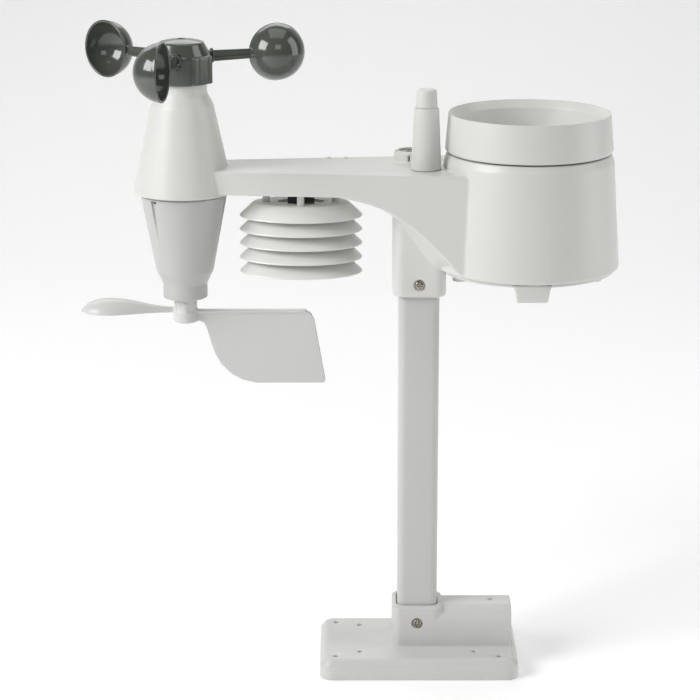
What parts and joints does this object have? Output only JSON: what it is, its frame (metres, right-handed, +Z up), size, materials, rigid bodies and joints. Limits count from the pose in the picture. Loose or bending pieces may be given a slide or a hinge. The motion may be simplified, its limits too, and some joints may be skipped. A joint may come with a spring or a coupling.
{
  "type": "home weather station",
  "caption": "Home weather station sensor array: spinning wind cups, wind vane, louvred shield and tipping-bucket rain gauge on an arm over a square mast with a screw-down base.",
  "frame": {"origin": "underside of the base stand, on the mast's centre line", "axes": "+Z up along the mast, +X towards the rain gauge, -X towards the wind tower, -Y out of the front"},
  "size_m": [0.3227, 0.1312, 0.3941],
  "materials": {
    "body_plastic": "fine satin",
    "cup_plastic": "gloss",
    "dark_plastic": "satin",
    "steel": "plain",
    "brass": "plain",
    "board": "satin circuit board",
    "clear_vial": "clear",
    "red_lens": "clear red",
    "magnet": "dull",
    "cell_wrap": "printed film over a steel can"
  },
  "bodies": {
    "station": {"base_stand": "body_plastic", "mast_pole": "body_plastic", "body_shell": "body_plastic", "arm_cover": "body_plastic", "housing_floor": "body_plastic", "antenna_sleeve": "body_plastic", "antenna_tip": "body_plastic", "level_ring": "body_plastic", "bucket_tray": "body_plastic", "lower_cone": "body_plastic", "louvre_1": "body_plastic", "louvre_2": "body_plastic", "louvre_3": "body_plastic", "louvre_4": "body_plastic", "louvre_5": "body_plastic", "sensor_cable": "dark_plastic", "base_screw": "steel", "base_nut": "steel", "head_screw": "steel", "head_nut": "steel", "floor_screw_1": "steel", "floor_screw_2": "steel", "floor_screw_3": "steel", "floor_screw_4": "steel", "reset_spring": "steel", "contact_front": "steel", "contact_rear": "steel", "bucket_pin": "steel", "cup_bearing_upper": "steel", "cup_bearing_lower": "steel", "shield_rod_1": "steel", "shield_rod_2": "steel", "shield_rod_3": "steel", "shield_rod_4": "steel", "antenna_coil": "brass", "vane_bearing": "brass", "main_board": "board", "reed_board": "board", "wind_board": "board", "thermo_board": "board", "level_vial": "clear_vial", "led_lens": "red_lens", "cell_1": "cell_wrap", "cell_2": "cell_wrap", "cell_3": "cell_wrap"},
    "cup_wheel": {"cup_hub": "cup_plastic", "wind_cup_1": "cup_plastic", "wind_cup_2": "cup_plastic", "wind_cup_3": "cup_plastic", "hub_screw": "steel", "cup_shaft": "steel", "cup_magnet": "magnet"},
    "vane": {"wind_vane": "body_plastic", "vane_shaft": "steel", "vane_magnet": "magnet"},
    "collector": {"rain_collector": "body_plastic"},
    "bucket": {"tipping_bucket": "dark_plastic", "bucket_magnet": "magnet"},
    "door": {"battery_door": "body_plastic"},
    "button": {"reset_button": "dark_plastic"}
  },
  "joints": [
    {"name": "cup_spin", "type": "hinge", "parent": "station", "child": "cup_wheel", "pos_m": [-0.1403, 0, 0.3768], "axis": [0, 0, 1], "continuous": true},
    {"name": "vane_swing", "type": "hinge", "parent": "station", "child": "vane", "pos_m": [-0.1403, 0, 0.222], "axis": [0, 0, 1], "continuous": true},
    {"name": "collector_turn", "type": "hinge", "parent": "station", "child": "collector", "pos_m": [0.0648, 0, 0.301], "axis": [0, 0, 1], "range_deg": [0, 30]},
    {"name": "bucket_tip", "type": "hinge", "parent": "station", "child": "bucket", "pos_m": [0.0648, 0, 0.2819], "axis": [0, 1, 0], "range_deg": [0, 26]},
    {"name": "door_slide", "type": "slide", "parent": "station", "child": "door", "axis": [0, 0, -1], "range_m": [0, 0.03]},
    {"name": "button_press", "type": "slide", "parent": "station", "child": "button", "axis": [0, 0, 1], "range_m": [0, 0.001], "stiffness_N_per_m": 500, "deforming": ["reset_spring"]}
  ]
}
